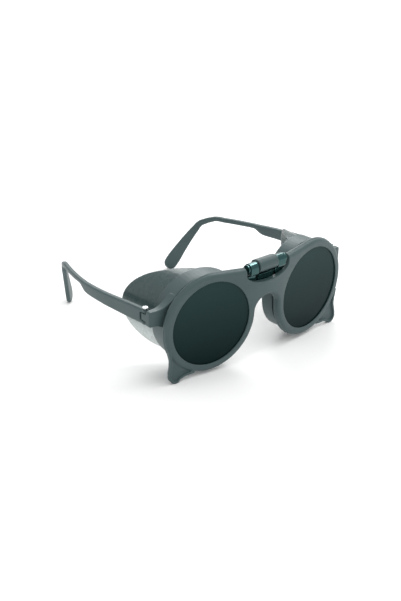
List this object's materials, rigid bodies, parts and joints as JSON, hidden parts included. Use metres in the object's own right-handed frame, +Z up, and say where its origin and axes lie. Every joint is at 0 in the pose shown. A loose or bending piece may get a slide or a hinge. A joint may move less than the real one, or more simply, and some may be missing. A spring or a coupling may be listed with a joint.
{
  "type": "flip-up welding goggles",
  "caption": "Welding goggles worn like spectacles: round clear lenses, a hinged front with round dark filter lenses that flips up, curved side shields and folding temples.",
  "frame": {"origin": "middle of the flat rear face of the nose bridge", "axes": "+X to the wearer's left, +Y back towards the ears, +Z up"},
  "size_m": [0.1402, 0.1333, 0.0653],
  "materials": {
    "grey_nylon": "satin moulded",
    "filter_glass": "polished dark filter",
    "clear_glass": "polished clear",
    "smoked_vinyl": "smooth smoky translucent",
    "black_steel": "black gloss",
    "pin_steel": "plain"
  },
  "bodies": {
    "frame": {"rear_frame": "grey_nylon", "clear_lens_left": "clear_glass", "clear_lens_right": "clear_glass", "clear_ring_left": "grey_nylon", "clear_ring_right": "grey_nylon", "side_shield_left": "smoked_vinyl", "side_shield_right": "smoked_vinyl", "temple_pin_left": "pin_steel", "temple_pin_right": "pin_steel"},
    "flip": {"flip_front": "grey_nylon", "filter_lens_left": "filter_glass", "filter_lens_right": "filter_glass", "filter_ring_left": "grey_nylon", "filter_ring_right": "grey_nylon", "hinge_pin": "black_steel", "hinge_strap_left": "black_steel", "hinge_strap_right": "black_steel", "hinge_rivet_left": "black_steel", "hinge_rivet_right": "black_steel", "hinge_leaf_spring": "black_steel"},
    "arm_left": {"temple_left": "grey_nylon"},
    "arm_right": {"temple_right": "grey_nylon"}
  },
  "joints": [
    {"name": "flip", "type": "hinge", "parent": "frame", "child": "flip", "pos_m": [0, -0.0071, 0.0112], "axis": [-1, 0, 0], "range_deg": [0, 90]},
    {"name": "temple_left_fold", "type": "hinge", "parent": "frame", "child": "arm_left", "pos_m": [0.0685, 0.0094, -0.00625], "axis": [0, 0, 1], "range_deg": [0, 45], "deforming": ["side_shield_left"]},
    {"name": "temple_right_fold", "type": "hinge", "parent": "frame", "child": "arm_right", "pos_m": [-0.0685, 0.0094, -0.00625], "axis": [0, 0, -1], "range_deg": [0, 38], "deforming": ["side_shield_right"]}
  ]
}
